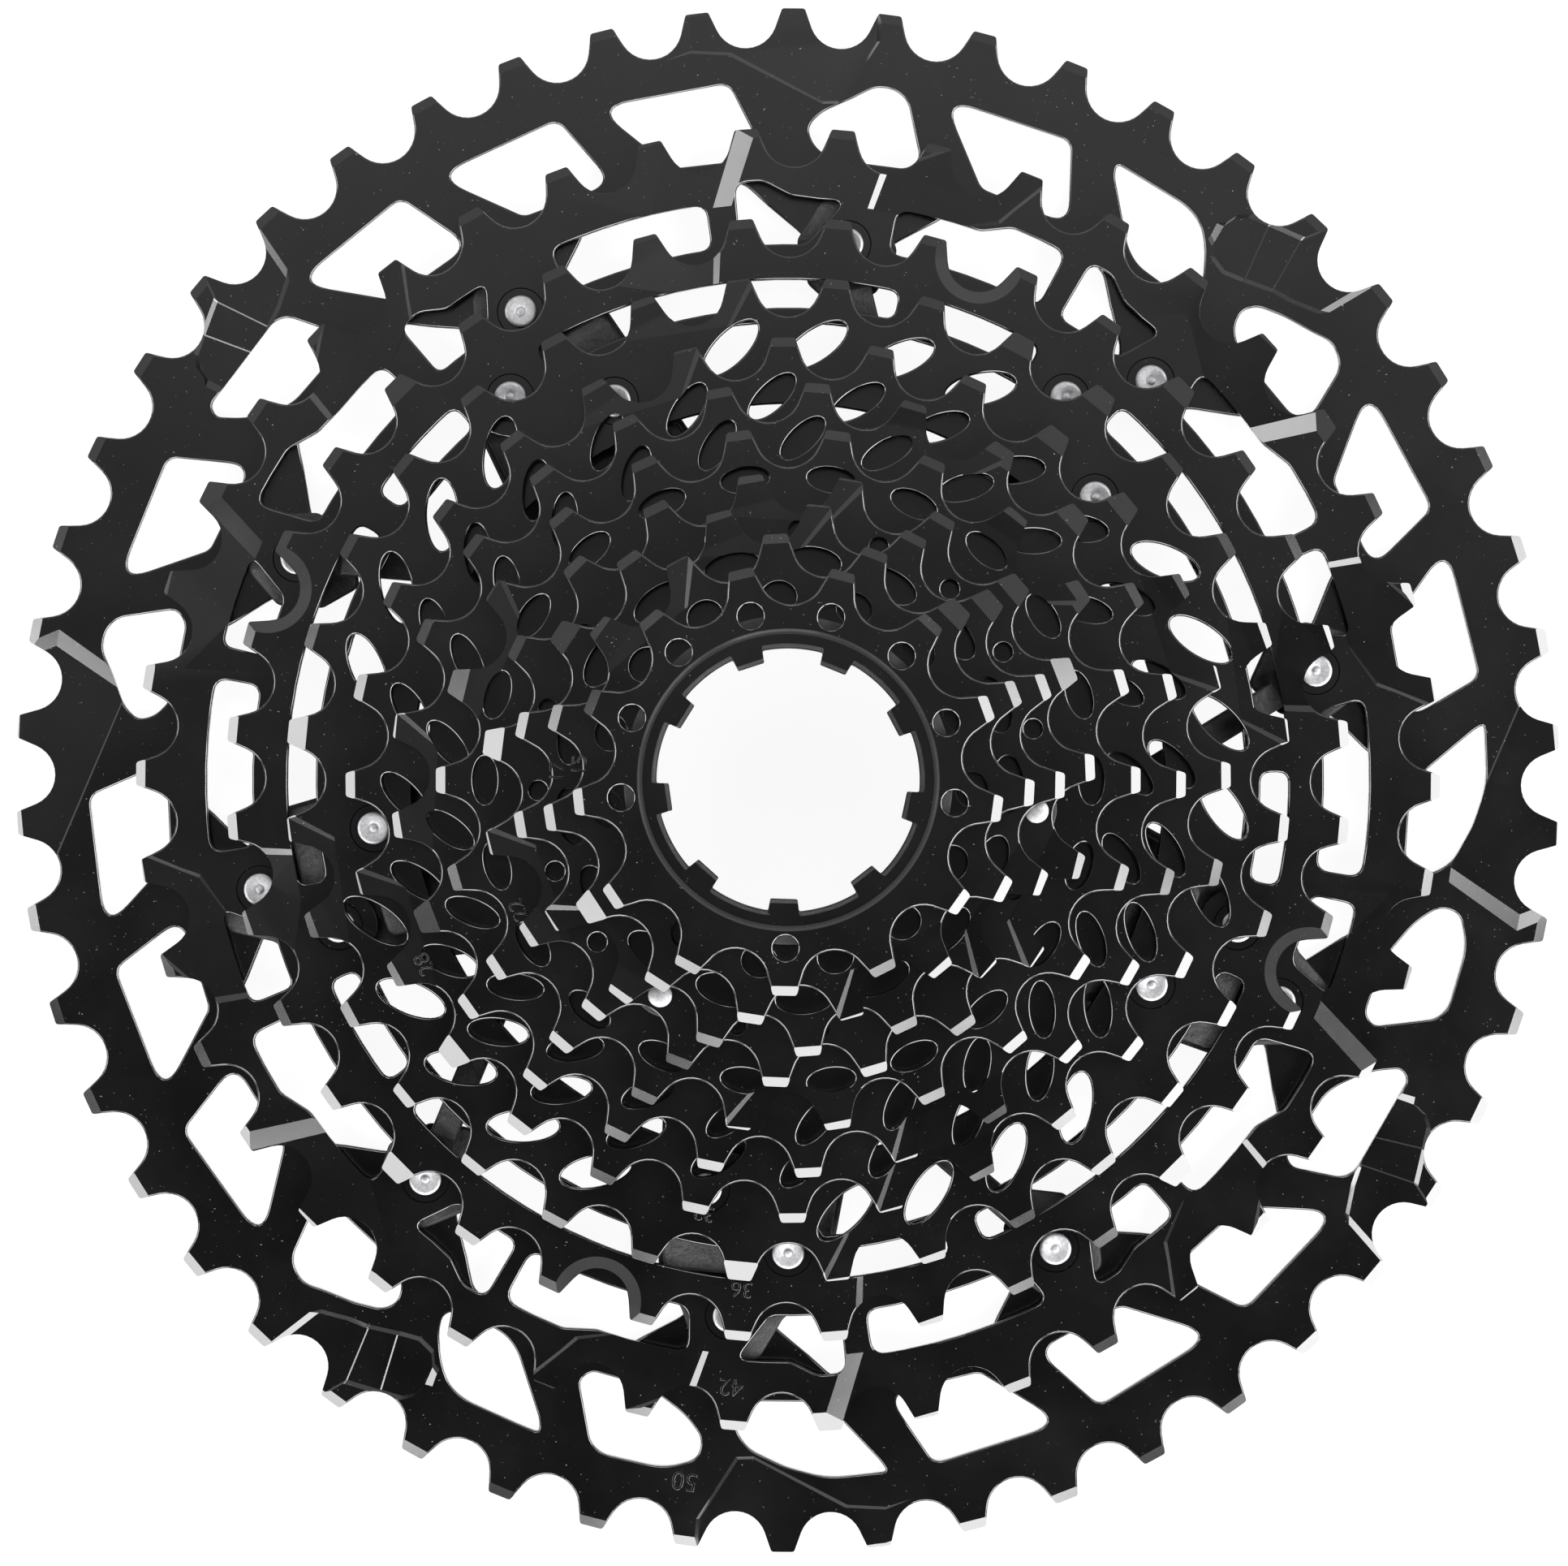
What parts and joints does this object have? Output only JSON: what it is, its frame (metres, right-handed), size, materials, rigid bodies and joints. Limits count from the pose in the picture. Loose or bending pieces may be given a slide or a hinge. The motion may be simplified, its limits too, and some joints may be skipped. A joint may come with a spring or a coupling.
{
  "type": "cassette sprocket",
  "caption": "Stepped cluster of black steel bicycle sprockets on a splined spider, the largest at the back, with riveted plates and loose small sprockets in front.",
  "frame": {"origin": "on the hub axis, in the plane of the largest sprocket's back face", "axes": "+Z along the hub axis from the largest sprocket to the smallest; +X and +Y across the sprockets"},
  "size_m": [0.204, 0.2042, 0.0382],
  "materials": {
    "plate_steel": "satin black coated stamped steel with bright worn edges",
    "spider_casting": "rough black coated aluminium casting",
    "rivet_steel": "bare spun steel heads",
    "spacer_black": "matte black"
  },
  "bodies": {
    "cluster": {"spider": "spider_casting", "sprocket_50t": "plate_steel", "sprocket_42t": "plate_steel", "sprocket_36t": "plate_steel", "sprocket_32t": "plate_steel", "sprocket_28t": "plate_steel", "sprocket_25t": "plate_steel", "sprocket_22t": "plate_steel", "sprocket_19t": "plate_steel", "outer_rivet_1": "rivet_steel", "outer_rivet_2": "rivet_steel", "outer_rivet_3": "rivet_steel", "outer_rivet_4": "rivet_steel", "outer_rivet_5": "rivet_steel", "outer_rivet_6": "rivet_steel", "outer_rivet_7": "rivet_steel", "outer_rivet_8": "rivet_steel", "outer_rivet_9": "rivet_steel", "outer_rivet_10": "rivet_steel", "middle_rivet_1": "rivet_steel", "middle_rivet_2": "rivet_steel", "middle_rivet_3": "rivet_steel", "middle_rivet_4": "rivet_steel", "middle_rivet_5": "rivet_steel", "inner_rivet_1": "rivet_steel", "inner_rivet_2": "rivet_steel", "inner_rivet_3": "rivet_steel", "inner_rivet_4": "rivet_steel", "inner_rivet_5": "rivet_steel", "stack_pin_1": "rivet_steel", "stack_pin_2": "rivet_steel", "stack_pin_3": "rivet_steel", "spacer_28t_25t": "spacer_black", "spacer_25t_22t": "spacer_black", "spacer_22t_19t": "spacer_black"},
    "loose_17t": {"sprocket_17t": "plate_steel", "spacer_19t_17t": "spacer_black"},
    "loose_15t": {"sprocket_15t": "plate_steel", "spacer_17t_15t": "spacer_black"},
    "loose_13t": {"sprocket_13t": "plate_steel", "spacer_15t_13t": "spacer_black"}
  },
  "joints": [
    {"name": "lift_17t", "type": "slide", "parent": "cluster", "child": "loose_17t", "axis": [0, 0, 1], "range_m": [0, 0.015]},
    {"name": "lift_15t", "type": "slide", "parent": "loose_17t", "child": "loose_15t", "axis": [0, 0, 1], "range_m": [0, 0.015]},
    {"name": "lift_13t", "type": "slide", "parent": "loose_15t", "child": "loose_13t", "axis": [0, 0, 1], "range_m": [0, 0.015]}
  ]
}
